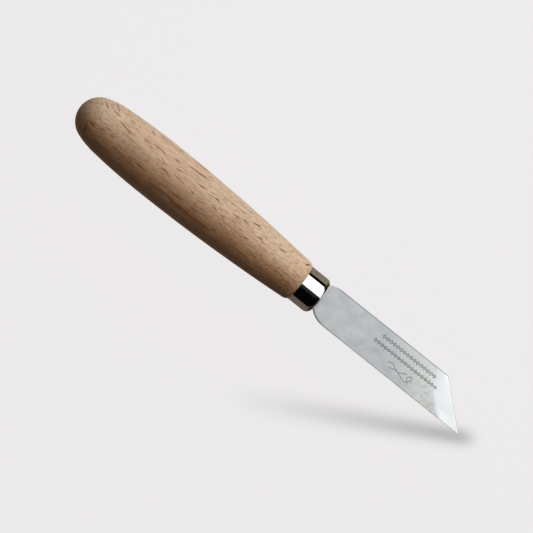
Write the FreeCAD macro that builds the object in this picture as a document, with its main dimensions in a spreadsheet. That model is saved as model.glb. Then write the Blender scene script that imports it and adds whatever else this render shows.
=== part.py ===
import FreeCAD, Part
import Sketcher
import math
import os

# Lino cutter: a fixed blade on a tapered tang, set in a turned beech handle behind a drawn steel ferrule.
# Knife axis along +X towards the blade, blade flat in the XY plane, cutting tip on the -Y side.
# Every sub-part is drawn about its own datum on the knife axis and then placed in the shared frame.
# All lengths are millimetres and all angles are degrees.

V = FreeCAD.Vector
AXIS_X = V(1, 0, 0)
AXIS_Z = V(0, 0, 1)

doc = FreeCAD.newDocument("lino_cutter")

DIMS = [
    # turned beech handle, measured from the butt
    ("handle_length", "112.6"),
    ("belly_diameter", "24.2"),
    ("belly_station", "39.0"),
    ("butt_dome_radius", "9.7"),
    ("butt_shoulder_radius", "33.4"),
    ("rear_sweep_radius", "267"),
    ("nose_diameter", "17.9"),
    ("nose_round_length", "2.2"),
    ("nose_face_diameter", "16.2"),
    ("nose_round_radius", "3.4"),
    ("spigot_length", "8.6"),
    ("spigot_chamfer", "1.3"),
    ("bore_diameter", "8.0"),
    ("bore_depth", "52"),
    ("drill_point_angle", "118"),
    # deep-drawn ferrule cap
    ("ferrule_diameter", "16.0"),
    ("ferrule_wall", "0.7"),
    ("ferrule_length", "9.5"),
    ("ferrule_corner_radius", "1.9"),
    ("ferrule_slot_width", "7.3"),
    ("ferrule_slot_height", "1.4"),
    ("stake_diameter", "1.2"),
    ("stake_depth", "0.25"),
    ("stake_station", "2.6"),
    ("stake_angle", "58"),
    # one-piece blade and tang, measured from the front face of the ferrule
    ("blade_reach", "77.4"),
    ("blade_width", "15.9"),
    ("blade_thickness", "1.3"),
    ("edge_angle", "41.2"),
    ("tip_radius", "0.25"),
    ("neck_heel_side", "5.7"),
    ("neck_tip_side", "4.7"),
    ("shoulder_radius_heel_side", "22"),
    ("shoulder_radius_tip_side", "10.5"),
    ("bevel_width", "7.3"),
    ("edge_land", "0.16"),
    ("tang_length", "50"),
    ("tang_root_width", "7.0"),
    ("tang_end_width", "3.0"),
    ("tang_thickness", "1.1"),
    # derived sizes
    ("overall_length", "=handle_length + ferrule_length + blade_reach"),
    ("belly_radius", "=belly_diameter / 2"),
    ("spigot_diameter", "=ferrule_diameter - 2 * ferrule_wall"),
]

sheet = doc.addObject("Spreadsheet::Sheet", "dims")
row = 1
for alias, content in DIMS:
    sheet.set("A%d" % row, alias)
    sheet.set("B%d" % row, content)
    sheet.setAlias("B%d" % row, alias)
    row += 1
doc.recompute()


def dim(alias):
    """Value of a driving dimension, for the starting positions of sketch geometry."""
    return float(sheet.get(alias))


def origin_plane(body, role):
    """The named datum plane of a body's own origin."""
    for feature in body.Origin.OriginFeatures:
        if feature.Role == role:
            return feature
    raise RuntimeError("no origin feature " + role)


def add_body(label):
    """An empty PartDesign body carrying the sub-part's name."""
    body = doc.addObject("PartDesign::Body", label)
    body.Label = label
    return body


def add_sketch(body, name, role):
    """A sketch on one of the body's origin planes."""
    sketch = body.newObject("Sketcher::SketchObject", name)
    sketch.AttachmentSupport = [(origin_plane(body, role), "")]
    sketch.MapMode = "FlatFace"
    return sketch


def drive(sketch, kind, args, formula):
    """Add a dimensional constraint and bind it to a spreadsheet formula."""
    number = sketch.addConstraint(Sketcher.Constraint(kind, *args))
    sketch.setExpression("Constraints[%d]" % number, formula)


def relate(sketch, kind, *args):
    """Add a geometric constraint."""
    sketch.addConstraint(Sketcher.Constraint(kind, *args))


def line(sketch, start, end):
    """A straight sketch segment between two (u, v) points."""
    return sketch.addGeometry(Part.LineSegment(V(*start, 0), V(*end, 0)), False)


def arc(sketch, centre, start, end):
    """A sketch arc about centre, running anticlockwise from start to end."""
    radius = math.dist(centre, start)
    first = math.atan2(start[1] - centre[1], start[0] - centre[0])
    last = math.atan2(end[1] - centre[1], end[0] - centre[0])
    circle = Part.Circle(V(*centre, 0), AXIS_Z, radius)
    return sketch.addGeometry(Part.ArcOfCircle(circle, first, last), False)


def join(sketch, first, first_end, second, second_end):
    """Make two segment ends coincide (1 is a start point, 2 is an end point)."""
    relate(sketch, "Coincident", first, first_end, second, second_end)


def place(body, formula_x):
    """Set a sub-part on the knife axis at a station measured from the middle of the knife."""
    body.setExpression("Placement.Base.x", formula_x + " - dims.overall_length / 2")
    body.setExpression("Placement.Base.z", "dims.belly_radius")


def turn(body, sketch, name):
    """Revolve a half outline about the knife axis."""
    revolution = body.newObject("PartDesign::Revolution", name)
    revolution.Profile = sketch
    revolution.ReferenceAxis = (sketch, ["H_Axis"])
    revolution.Angle = 360
    sketch.Visibility = False
    doc.recompute()
    return revolution


def on_x_axis(sketch, geometry, end):
    """Keep a point on the sketch's horizontal axis."""
    relate(sketch, "PointOnObject", geometry, end, -1)


# ---------------------------------------------------------------- handle
# Turned outline: dome at the butt, shoulder sweep, long belly, slow taper to a rounded nose,
# then the reduced spigot that carries the ferrule.

handle = add_body("handle")
outline = add_sketch(handle, "handle_outline", "XY_Plane")

length = dim("handle_length")
belly = dim("belly_diameter") / 2
nose = dim("nose_diameter") / 2
face = dim("nose_face_diameter") / 2
spigot = dim("spigot_diameter") / 2
spigot_end = length + dim("spigot_length")
lead = dim("spigot_chamfer")
dome = dim("butt_dome_radius")

dome_top = (6.4, 9.1)
shoulder_top = (14.8, 11.0)
belly_top = (dim("belly_station"), belly)
nose_start = (length - dim("nose_round_length"), nose)
taper_drop = belly - nose
taper_run = nose_start[0] - belly_top[0]
taper_radius = (taper_run ** 2 + taper_drop ** 2) / (2 * taper_drop)

dome_arc = arc(outline, (dome, 0), dome_top, (0, 0.001))
shoulder_arc = arc(outline, (17.8, -22.3), shoulder_top, dome_top)
rear_arc = arc(outline, (belly_top[0], belly - dim("rear_sweep_radius")), belly_top, shoulder_top)
taper_arc = arc(outline, (belly_top[0], belly - taper_radius), nose_start, belly_top)
nose_arc = arc(outline, (nose_start[0] - 1.0, nose - 3.2), (length, face), nose_start)
nose_step = line(outline, (length, face), (length, spigot))
spigot_side = line(outline, (length, spigot), (spigot_end - lead, spigot))
spigot_lead = line(outline, (spigot_end - lead, spigot), (spigot_end, spigot - lead))
spigot_face = line(outline, (spigot_end, spigot - lead), (spigot_end, 0))
centre_line = line(outline, (spigot_end, 0), (0, 0))

join(outline, centre_line, 2, -1, 1)
join(outline, centre_line, 2, dome_arc, 2)
on_x_axis(outline, dome_arc, 3)
relate(outline, "Tangent", dome_arc, 1, shoulder_arc, 2)
relate(outline, "Tangent", shoulder_arc, 1, rear_arc, 2)
relate(outline, "Tangent", rear_arc, 1, taper_arc, 2)
relate(outline, "Vertical", rear_arc, 3, taper_arc, 3)
join(outline, taper_arc, 1, nose_arc, 2)
join(outline, nose_arc, 1, nose_step, 1)
join(outline, nose_step, 2, spigot_side, 1)
join(outline, spigot_side, 2, spigot_lead, 1)
join(outline, spigot_lead, 2, spigot_face, 1)
join(outline, spigot_face, 2, centre_line, 1)
relate(outline, "Vertical", nose_step)
relate(outline, "Horizontal", spigot_side)
relate(outline, "Vertical", spigot_face)
relate(outline, "Horizontal", centre_line)
drive(outline, "Radius", (dome_arc, dim("butt_dome_radius")), "dims.butt_dome_radius")
drive(outline, "Radius", (shoulder_arc, dim("butt_shoulder_radius")), "dims.butt_shoulder_radius")
drive(outline, "Radius", (rear_arc, dim("rear_sweep_radius")), "dims.rear_sweep_radius")
drive(outline, "Radius", (nose_arc, dim("nose_round_radius")), "dims.nose_round_radius")
drive(outline, "DistanceX", (-1, 1, taper_arc, 2, belly_top[0]), "dims.belly_station")
drive(outline, "DistanceY", (-1, 1, taper_arc, 2, belly), "dims.belly_diameter / 2")
nose_formula = "dims.handle_length - dims.nose_round_length"
drive(outline, "DistanceX", (-1, 1, nose_arc, 2, nose_start[0]), nose_formula)
drive(outline, "DistanceY", (-1, 1, nose_arc, 2, nose), "dims.nose_diameter / 2")
drive(outline, "DistanceX", (-1, 1, nose_step, 1, length), "dims.handle_length")
drive(outline, "DistanceY", (-1, 1, nose_step, 1, face), "dims.nose_face_diameter / 2")
drive(outline, "DistanceY", (-1, 1, spigot_side, 1, spigot), "dims.spigot_diameter / 2")
drive(outline, "DistanceX", (-1, 1, spigot_face, 2, spigot_end), "dims.handle_length + dims.spigot_length")
drive(outline, "DistanceX", (spigot_side, 2, spigot_face, 1, lead), "dims.spigot_chamfer")
drive(outline, "DistanceY", (spigot_face, 1, spigot_side, 2, lead), "dims.spigot_chamfer")
doc.recompute()

turned_blank = turn(handle, outline, "turned_blank")

# Drilled bore that takes the tang, entered from the front of the spigot.
bore_mark = add_sketch(handle, "bore_mark", "YZ_Plane")
bore_mark.setExpression("AttachmentOffset.Base.z", "dims.handle_length + dims.spigot_length")
bore_circle = bore_mark.addGeometry(Part.Circle(V(0, 0, 0), AXIS_Z, dim("bore_diameter") / 2), False)
join(bore_mark, bore_circle, 3, -1, 1)
drive(bore_mark, "Diameter", (bore_circle, dim("bore_diameter")), "dims.bore_diameter")
doc.recompute()

bore = handle.newObject("PartDesign::Hole", "tang_bore")
bore.Profile = bore_mark
bore.Threaded = False
bore.DepthType = "Dimension"
bore.DrillPoint = "Angled"
bore.setExpression("Diameter", "dims.bore_diameter")
bore.setExpression("Depth", "dims.bore_depth")
bore.setExpression("DrillPointAngle", "dims.drill_point_angle")
bore_mark.Visibility = False
doc.recompute()

place(handle, "0")

# ---------------------------------------------------------------- ferrule
# Cup drawn from thin sheet, open towards the handle, its corner rounded and its front wall slotted.

ferrule = add_body("ferrule")
cup = add_sketch(ferrule, "cup_outline", "XY_Plane")

outer = dim("ferrule_diameter") / 2
inner = outer - dim("ferrule_wall")
cup_length = dim("ferrule_length")
cup_floor = cup_length - dim("ferrule_wall")

rear_lip = line(cup, (0, inner), (0, outer))
outer_side = line(cup, (0, outer), (cup_length, outer))
front_face = line(cup, (cup_length, outer), (cup_length, 0))
cup_axis = line(cup, (cup_length, 0), (cup_floor, 0))
floor_face = line(cup, (cup_floor, 0), (cup_floor, inner))
inner_side = line(cup, (cup_floor, inner), (0, inner))
cup_loop = [rear_lip, outer_side, front_face, cup_axis, floor_face, inner_side]
for index, segment in enumerate(cup_loop):
    join(cup, segment, 2, cup_loop[(index + 1) % len(cup_loop)], 1)
for segment in (rear_lip, front_face, floor_face):
    relate(cup, "Vertical", segment)
for segment in (outer_side, inner_side):
    relate(cup, "Horizontal", segment)
on_x_axis(cup, cup_axis, 1)
on_x_axis(cup, cup_axis, 2)
relate(cup, "PointOnObject", rear_lip, 1, -2)
drive(cup, "DistanceY", (-1, 1, outer_side, 1, outer), "dims.ferrule_diameter / 2")
drive(cup, "DistanceY", (rear_lip, 1, rear_lip, 2, outer - inner), "dims.ferrule_wall")
drive(cup, "DistanceX", (-1, 1, front_face, 1, cup_length), "dims.ferrule_length")
drive(cup, "DistanceX", (cup_axis, 2, cup_axis, 1, cup_length - cup_floor), "dims.ferrule_wall")
doc.recompute()

drawn_cup = turn(ferrule, cup, "drawn_cup")


def ring_edge(shape, station, radius):
    """Name of the circular edge at a station along the axis with the given radius."""
    for number, edge in enumerate(shape.Edges, 1):
        if not isinstance(edge.Curve, Part.Circle):
            continue
        if abs(edge.Curve.Center.x - station) < 1e-4 and abs(edge.Curve.Radius - radius) < 1e-4:
            return "Edge%d" % number
    raise RuntimeError("no circular edge at station %.2f" % station)


outer_corner = ferrule.newObject("PartDesign::Fillet", "outer_corner")
outer_corner.Base = (drawn_cup, [ring_edge(drawn_cup.Shape, cup_length, outer)])
outer_corner.setExpression("Radius", "dims.ferrule_corner_radius")
doc.recompute()

inner_corner = ferrule.newObject("PartDesign::Fillet", "inner_corner")
inner_corner.Base = (outer_corner, [ring_edge(outer_corner.Shape, cup_floor, inner)])
inner_corner.setExpression("Radius", "dims.ferrule_corner_radius - dims.ferrule_wall")
doc.recompute()

# Slot pierced through the front wall for the tang.
slot = add_sketch(ferrule, "slot_outline", "YZ_Plane")
half_slot = dim("ferrule_slot_width") / 2
half_gap = dim("ferrule_slot_height") / 2
slot_top = line(slot, (half_slot, half_gap), (-half_slot, half_gap))
slot_left = line(slot, (-half_slot, half_gap), (-half_slot, -half_gap))
slot_bottom = line(slot, (-half_slot, -half_gap), (half_slot, -half_gap))
slot_right = line(slot, (half_slot, -half_gap), (half_slot, half_gap))
slot_loop = [slot_top, slot_left, slot_bottom, slot_right]
for index, segment in enumerate(slot_loop):
    join(slot, segment, 2, slot_loop[(index + 1) % 4], 1)
for segment in (slot_top, slot_bottom):
    relate(slot, "Horizontal", segment)
for segment in (slot_left, slot_right):
    relate(slot, "Vertical", segment)
relate(slot, "Symmetric", slot_top, 1, slot_bottom, 1, -1, 1)
drive(slot, "DistanceX", (slot_top, 2, slot_top, 1, 2 * half_slot), "dims.ferrule_slot_width")
drive(slot, "DistanceY", (slot_left, 2, slot_left, 1, 2 * half_gap), "dims.ferrule_slot_height")
doc.recompute()

volume_before_slot = ferrule.Shape.Volume
tang_slot = ferrule.newObject("PartDesign::Pocket", "tang_slot")
tang_slot.Profile = slot
tang_slot.Type = "Length"
tang_slot.Reversed = True
tang_slot.setExpression("Length", "dims.ferrule_length + 1")
slot.Visibility = False
doc.recompute()

# Punch mark that stakes the ferrule to the spigot.
stake = ferrule.newObject("PartDesign::SubtractiveSphere", "stake_mark")
stake.setExpression("Radius", "dims.stake_diameter / 2")
stake_reach = "(dims.ferrule_diameter / 2 + dims.stake_diameter / 2 - dims.stake_depth)"
stake.setExpression("Placement.Base.x", "dims.stake_station")
stake.setExpression("Placement.Base.y", stake_reach + " * sin(dims.stake_angle)")
stake.setExpression("Placement.Base.z", stake_reach + " * cos(dims.stake_angle)")
doc.recompute()

place(ferrule, "dims.handle_length")

# ---------------------------------------------------------------- blade
# One strip of steel: tapered tang, two shoulders that butt on the ferrule, parallel blade,
# oblique cutting edge ground on both faces.

blade = add_body("blade")
strip = add_sketch(blade, "strip_outline", "XY_Plane")

half_width = dim("blade_width") / 2
reach = dim("blade_reach")
tip_r = dim("tip_radius")
neck_up = dim("neck_heel_side")
neck_down = dim("neck_tip_side")
up_r = dim("shoulder_radius_heel_side")
down_r = dim("shoulder_radius_tip_side")
root = dim("tang_root_width") / 2
tang_end = dim("tang_end_width") / 2
tang = dim("tang_length")

up_run = math.sqrt(up_r ** 2 - (up_r - half_width + neck_up) ** 2)
down_run = math.sqrt(down_r ** 2 - (down_r - half_width + neck_down) ** 2)
tip_centre = (reach - tip_r, tip_r - half_width)
slant = math.radians(dim("edge_angle"))
tip_touch = (tip_centre[0] + tip_r * math.sin(slant), tip_centre[1] + tip_r * math.cos(slant))
heel = tip_touch[0] - (half_width - tip_touch[1]) / math.tan(slant)

up_shoulder = line(strip, (0, root), (0, neck_up))
up_arc = arc(strip, (up_run, half_width - up_r), (up_run, half_width), (0, neck_up))
back_edge = line(strip, (up_run, half_width), (heel, half_width))
cutting_edge = line(strip, tip_touch, (heel, half_width))
tip_arc = arc(strip, tip_centre, (tip_centre[0], -half_width), tip_touch)
low_edge = line(strip, (tip_centre[0], -half_width), (down_run, -half_width))
down_arc = arc(strip, (down_run, down_r - half_width), (0, -neck_down), (down_run, -half_width))
down_shoulder = line(strip, (0, -neck_down), (0, -root))
tang_low = line(strip, (0, -root), (-tang, -tang_end))
tang_butt = line(strip, (-tang, -tang_end), (-tang, tang_end))
tang_up = line(strip, (-tang, tang_end), (0, root))

join(strip, up_shoulder, 2, up_arc, 2)
relate(strip, "Tangent", up_arc, 1, back_edge, 1)
join(strip, back_edge, 2, cutting_edge, 2)
relate(strip, "Tangent", cutting_edge, 1, tip_arc, 2)
relate(strip, "Tangent", tip_arc, 1, low_edge, 1)
relate(strip, "Tangent", low_edge, 2, down_arc, 2)
join(strip, down_arc, 1, down_shoulder, 1)
join(strip, down_shoulder, 2, tang_low, 1)
join(strip, tang_low, 2, tang_butt, 1)
join(strip, tang_butt, 2, tang_up, 1)
join(strip, tang_up, 2, up_shoulder, 1)
for segment in (back_edge, low_edge):
    relate(strip, "Horizontal", segment)
relate(strip, "PointOnObject", up_shoulder, 1, -2)
relate(strip, "PointOnObject", up_shoulder, 2, -2)
relate(strip, "PointOnObject", down_shoulder, 1, -2)
relate(strip, "Symmetric", up_shoulder, 1, down_shoulder, 2, -1)
relate(strip, "Symmetric", tang_butt, 1, tang_butt, 2, -1)
drive(strip, "DistanceY", (-1, 1, back_edge, 2, half_width), "dims.blade_width / 2")
drive(strip, "DistanceY", (low_edge, 1, -1, 1, half_width), "dims.blade_width / 2")
drive(strip, "Angle", (cutting_edge, math.pi - slant), "180 - dims.edge_angle")
drive(strip, "Radius", (tip_arc, tip_r), "dims.tip_radius")
drive(strip, "DistanceX", (-1, 1, tip_arc, 3, reach - tip_r), "dims.blade_reach - dims.tip_radius")
drive(strip, "Radius", (up_arc, up_r), "dims.shoulder_radius_heel_side")
drive(strip, "Radius", (down_arc, down_r), "dims.shoulder_radius_tip_side")
drive(strip, "DistanceY", (-1, 1, up_shoulder, 2, neck_up), "dims.neck_heel_side")
drive(strip, "DistanceY", (down_shoulder, 1, -1, 1, neck_down), "dims.neck_tip_side")
drive(strip, "DistanceY", (down_shoulder, 2, up_shoulder, 1, 2 * root), "dims.tang_root_width")
drive(strip, "DistanceY", (tang_butt, 1, tang_butt, 2, 2 * tang_end), "dims.tang_end_width")
drive(strip, "DistanceX", (tang_butt, 1, -1, 1, tang), "dims.tang_length")
doc.recompute()

blank = blade.newObject("PartDesign::Pad", "strip_blank")
blank.Profile = strip
blank.SideType = "Symmetric"
blank.setExpression("Length", "dims.blade_thickness")
strip.Visibility = False
doc.recompute()

# The tang is drawn down a little thinner than the blade, so its faces step in at the shoulders.
thinning = add_sketch(blade, "tang_thinning", "XZ_Plane")
half_thick = dim("blade_thickness") / 2
half_tang = dim("tang_thickness") / 2
CLEAR = 1.0
for side in (1, -1):
    near, far = side * half_tang, side * (half_thick + CLEAR)
    inner_run = line(thinning, (-tang - CLEAR, near), (0, near))
    shoulder_rise = line(thinning, (0, near), (0, far))
    outer_run = line(thinning, (0, far), (-tang - CLEAR, far))
    end_drop = line(thinning, (-tang - CLEAR, far), (-tang - CLEAR, near))
    step_loop = [inner_run, shoulder_rise, outer_run, end_drop]
    for index, segment in enumerate(step_loop):
        join(thinning, segment, 2, step_loop[(index + 1) % 4], 1)
    for segment in (inner_run, outer_run):
        relate(thinning, "Horizontal", segment)
    relate(thinning, "Vertical", end_drop)
    relate(thinning, "PointOnObject", shoulder_rise, 1, -2)
    relate(thinning, "PointOnObject", shoulder_rise, 2, -2)
    drive(thinning, "DistanceX", (inner_run, 1, -1, 1, tang + CLEAR), "dims.tang_length + 1")
    low, high = (-1, 1), (inner_run, 2)
    if side < 0:
        low, high = high, low
    drive(thinning, "DistanceY", (*low, *high, half_tang), "dims.tang_thickness / 2")
    low, high = (-1, 1), (outer_run, 1)
    if side < 0:
        low, high = high, low
    drive(thinning, "DistanceY", (*low, *high, half_thick + CLEAR), "dims.blade_thickness / 2 + 1")
doc.recompute()

volume_before_thinning = blade.Shape.Volume
thinned_tang = blade.newObject("PartDesign::Pocket", "thinned_tang")
thinned_tang.Profile = thinning
thinned_tang.Type = "ThroughAll"
thinned_tang.SideType = "Symmetric"
thinning.Visibility = False
doc.recompute()

# Edge ground on both faces: two thin wedges taken off along the oblique cutting edge. The section
# plane stands square to that edge, its origin on the centre of the tip rounding.
bevels = add_sketch(blade, "bevel_section", "XZ_Plane")
bevels.AttachmentOffset = FreeCAD.Placement(V(0, 0, 0), FreeCAD.Rotation(V(0, 1, 0), 48.8))
bevels.setExpression("AttachmentOffset.Base.x", "dims.blade_reach - dims.tip_radius")
bevels.setExpression("AttachmentOffset.Base.z", "dims.blade_width / 2 - dims.tip_radius")
bevels.setExpression("AttachmentOffset.Rotation.Angle", "90 - dims.edge_angle")
doc.recompute()

half_land = dim("edge_land") / 2
bevel = dim("bevel_width")
OVERRUN = 1.0
overrun_depth = half_land - OVERRUN * (half_thick - half_land) / bevel
depth_formula = "dims.edge_land / 2 - (dims.blade_thickness - dims.edge_land) / 2 / dims.bevel_width"

for side in (1, -1):
    inner_point = (tip_r - bevel, side * half_thick)
    outer_point = (tip_r + OVERRUN, side * half_thick)
    low_point = (tip_r + OVERRUN, side * overrun_depth)
    face_run = line(bevels, inner_point, outer_point)
    outer_drop = line(bevels, outer_point, low_point)
    ground_face = line(bevels, low_point, inner_point)
    join(bevels, face_run, 2, outer_drop, 1)
    join(bevels, outer_drop, 2, ground_face, 1)
    join(bevels, ground_face, 2, face_run, 1)
    relate(bevels, "Horizontal", face_run)
    relate(bevels, "Vertical", outer_drop)
    drive(bevels, "DistanceX", (face_run, 1, -1, 1, bevel - tip_r), "dims.bevel_width - dims.tip_radius")
    drive(bevels, "DistanceX", (-1, 1, face_run, 2, tip_r + OVERRUN), "dims.tip_radius + 1")
    if side > 0:
        drive(bevels, "DistanceY", (-1, 1, face_run, 1, half_thick), "dims.blade_thickness / 2")
        drive(bevels, "DistanceY", (-1, 1, outer_drop, 2, overrun_depth), depth_formula)
    else:
        drive(bevels, "DistanceY", (face_run, 1, -1, 1, half_thick), "dims.blade_thickness / 2")
        drive(bevels, "DistanceY", (outer_drop, 2, -1, 1, overrun_depth), depth_formula)
doc.recompute()

volume_before_grind = blade.Shape.Volume
ground_edge = blade.newObject("PartDesign::Pocket", "ground_edge")
ground_edge.Profile = bevels
ground_edge.Type = "ThroughAll"
ground_edge.SideType = "Symmetric"
bevels.Visibility = False
doc.recompute()

place(blade, "dims.handle_length + dims.ferrule_length")

# ---------------------------------------------------------------- tang_resin
# Set resin that fills the drilled bore around the flat tang, cone of the drill point included.

resin = add_body("tang_resin")
plug = add_sketch(resin, "plug_outline", "XY_Plane")
bore_radius = dim("bore_diameter") / 2
depth = dim("bore_depth")
cone = bore_radius / math.tan(math.radians(dim("drill_point_angle") / 2))

plug_axis = line(plug, (-depth - cone, 0), (0, 0))
plug_face = line(plug, (0, 0), (0, bore_radius))
plug_side = line(plug, (0, bore_radius), (-depth, bore_radius))
plug_cone = line(plug, (-depth, bore_radius), (-depth - cone, 0))
plug_loop = [plug_axis, plug_face, plug_side, plug_cone]
for index, segment in enumerate(plug_loop):
    join(plug, segment, 2, plug_loop[(index + 1) % 4], 1)
join(plug, plug_axis, 2, -1, 1)
relate(plug, "Horizontal", plug_axis)
relate(plug, "Vertical", plug_face)
relate(plug, "Horizontal", plug_side)
drive(plug, "DistanceY", (plug_face, 1, plug_face, 2, bore_radius), "dims.bore_diameter / 2")
drive(plug, "DistanceX", (plug_side, 2, plug_side, 1, depth), "dims.bore_depth")
cone_formula = "dims.bore_diameter / 2 / tan(dims.drill_point_angle / 2)"
drive(plug, "DistanceX", (plug_cone, 2, plug_cone, 1, cone), cone_formula)
doc.recompute()

cast_plug = turn(resin, plug, "cast_plug")

# The tang's own outline, left empty in the resin.
gap = add_sketch(resin, "tang_gap", "XY_Plane")
lead_in = dim("ferrule_length") - dim("spigot_length")
gap_front = line(gap, (lead_in, -root), (lead_in, root))
gap_up = line(gap, (lead_in, root), (lead_in - tang, tang_end))
gap_back = line(gap, (lead_in - tang, tang_end), (lead_in - tang, -tang_end))
gap_low = line(gap, (lead_in - tang, -tang_end), (lead_in, -root))
gap_loop = [gap_front, gap_up, gap_back, gap_low]
for index, segment in enumerate(gap_loop):
    join(gap, segment, 2, gap_loop[(index + 1) % 4], 1)
relate(gap, "Symmetric", gap_front, 1, gap_front, 2, -1)
relate(gap, "Symmetric", gap_back, 1, gap_back, 2, -1)
drive(gap, "DistanceY", (gap_front, 1, gap_front, 2, 2 * root), "dims.tang_root_width")
drive(gap, "DistanceY", (gap_back, 2, gap_back, 1, 2 * tang_end), "dims.tang_end_width")
drive(gap, "DistanceX", (-1, 1, gap_front, 1, lead_in), "dims.ferrule_length - dims.spigot_length")
drive(gap, "DistanceX", (gap_back, 1, gap_front, 1, tang), "dims.tang_length")
doc.recompute()

volume_before_gap = resin.Shape.Volume
tang_gap_cut = resin.newObject("PartDesign::Pocket", "tang_gap_cut")
tang_gap_cut.Profile = gap
tang_gap_cut.Type = "Length"
tang_gap_cut.SideType = "Symmetric"
tang_gap_cut.setExpression("Length", "dims.tang_thickness")
gap.Visibility = False
doc.recompute()

place(resin, "dims.handle_length + dims.spigot_length")
doc.recompute()

# ---------------------------------------------------------------- checks and export

for item in doc.Objects:
    if "Invalid" in item.State or "Error" in item.State:
        raise RuntimeError("%s did not build: %s" % (item.Name, item.State))
    if hasattr(item, "Shape") and not item.isDerivedFrom("App::LocalCoordinateSystem"):
        if item.isDerivedFrom("App::DatumElement"):
            continue
        if item.Shape.isNull() or not item.Shape.isValid():
            raise RuntimeError("%s has no valid shape" % item.Name)
    if item.TypeId == "Sketcher::SketchObject" and not item.FullyConstrained:
        raise RuntimeError("%s is not fully constrained" % item.Name)

cuts = [
    ("tang bore", turned_blank.Shape.Volume, handle.Shape.Volume),
    ("ferrule slot", volume_before_slot, ferrule.Shape.Volume),
    ("tang thinning", volume_before_thinning, volume_before_grind),
    ("ground edge", volume_before_grind, blade.Shape.Volume),
    ("tang gap", volume_before_gap, resin.Shape.Volume),
]
for name, before, after in cuts:
    if after > before - 1:
        raise RuntimeError("the %s removed nothing" % name)

os.makedirs("parts", exist_ok=True)
for body in (handle, ferrule, blade, resin):
    if len(body.Shape.Solids) != 1:
        raise RuntimeError("%s is not one solid" % body.Label)
    body.Shape.exportStep("parts/%s.step" % body.Label)
    box = body.Shape.BoundBox
    print(body.Label, "%.2f %.2f %.2f" % (box.XMin, box.YMin, box.ZMin),
          "%.2f %.2f %.2f" % (box.XMax, box.YMax, box.ZMax), "volume %.1f" % body.Shape.Volume)
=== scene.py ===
import math

import bmesh
import bpy
import numpy as np
from mathutils import Matrix, Vector


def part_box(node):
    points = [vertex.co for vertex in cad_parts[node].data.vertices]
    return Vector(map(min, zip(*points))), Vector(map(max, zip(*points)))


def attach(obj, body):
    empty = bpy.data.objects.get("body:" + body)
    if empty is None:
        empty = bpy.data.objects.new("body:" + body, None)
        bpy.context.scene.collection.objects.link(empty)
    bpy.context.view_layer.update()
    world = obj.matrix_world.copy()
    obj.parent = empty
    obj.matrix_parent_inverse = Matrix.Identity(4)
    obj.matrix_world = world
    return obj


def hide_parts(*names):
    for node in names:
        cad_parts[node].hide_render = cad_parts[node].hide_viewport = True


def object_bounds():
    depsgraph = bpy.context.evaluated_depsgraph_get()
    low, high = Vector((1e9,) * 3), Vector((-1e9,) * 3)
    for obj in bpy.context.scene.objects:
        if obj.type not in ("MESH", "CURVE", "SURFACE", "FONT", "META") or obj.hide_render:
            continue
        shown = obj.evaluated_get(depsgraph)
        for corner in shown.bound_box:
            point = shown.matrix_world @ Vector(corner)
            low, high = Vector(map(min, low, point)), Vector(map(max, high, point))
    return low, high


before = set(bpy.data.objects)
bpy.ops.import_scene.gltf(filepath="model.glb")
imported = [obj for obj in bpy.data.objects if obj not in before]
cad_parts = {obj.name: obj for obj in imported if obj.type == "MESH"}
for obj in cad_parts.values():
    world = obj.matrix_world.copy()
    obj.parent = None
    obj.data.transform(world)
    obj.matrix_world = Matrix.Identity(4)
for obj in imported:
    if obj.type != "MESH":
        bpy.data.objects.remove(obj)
cad_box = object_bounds()

MM = 0.001
rng = np.random.default_rng(41)
LEAN = math.radians(6.8)                 # the camera leans this far towards the butt

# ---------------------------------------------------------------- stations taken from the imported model
handle_lo, handle_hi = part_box("handle")
ferrule_lo, ferrule_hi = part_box("ferrule")
blade_lo, blade_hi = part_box("blade")
resin_lo, resin_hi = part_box("tang_resin")

BUTT = handle_lo.x                       # back end of the handle
FERRULE_REAR = ferrule_lo.x
JOIN = -0.9                              # the wood meets the ferrule this far from the CAD join, in mm
FERRULE_FRONT = ferrule_hi.x             # the blade's shoulders start here
TIP = blade_hi.x
AXIS_Z = (handle_lo.z + handle_hi.z) / 2
HALF_WIDTH = (blade_hi.y - blade_lo.y) / 2
HALF_THICK = (blade_hi.z - blade_lo.z) / 2
BELLY_RADIUS = (handle_hi.z - handle_lo.z) / 2
FERRULE_RADIUS = 8.0 * MM


# ---------------------------------------------------------------- mesh helpers
def add_mesh(name, vertices, faces, replaces, material):
    """A finished piece: smooth mesh, material, body, replaced CAD node and material slot."""
    mesh = bpy.data.meshes.new(name)
    mesh.from_pydata([tuple(v) for v in vertices], [], [tuple(f) for f in faces])
    mesh.validate()
    piece = bpy.data.objects.new(name, mesh)
    bpy.context.scene.collection.objects.link(piece)
    build = bmesh.new()
    build.from_mesh(mesh)
    bmesh.ops.recalc_face_normals(build, faces=build.faces)
    build.to_mesh(mesh)
    build.free()
    for face in mesh.polygons:
        face.use_smooth = True
    mesh.materials.append(material)
    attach(piece, "root")
    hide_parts(replaces)
    return piece


def arc_points(centre, radius, start, end, count):
    """Points of an arc in the (station, radius) half plane; angles in degrees."""
    return [(centre[0] + radius * math.cos(math.radians(a)), centre[1] + radius * math.sin(math.radians(a)))
            for a in np.linspace(start, end, count)]


def run_points(start, end, count):
    """Points of a straight run, both ends included."""
    along, up = end[0] - start[0], end[1] - start[1]
    return [(start[0] + along * k / (count - 1), start[1] + up * k / (count - 1)) for k in range(count)]


def sharp_edges(piece, degrees):
    """Marks edges sharper than the angle, so that only they shade as corners."""
    build = bmesh.new()
    build.from_mesh(piece.data)
    limit = math.radians(degrees)
    for edge in build.edges:
        if len(edge.link_faces) == 2 and edge.calc_face_angle(0.0) > limit:
            edge.smooth = False
    build.to_mesh(piece.data)
    build.free()


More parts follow.
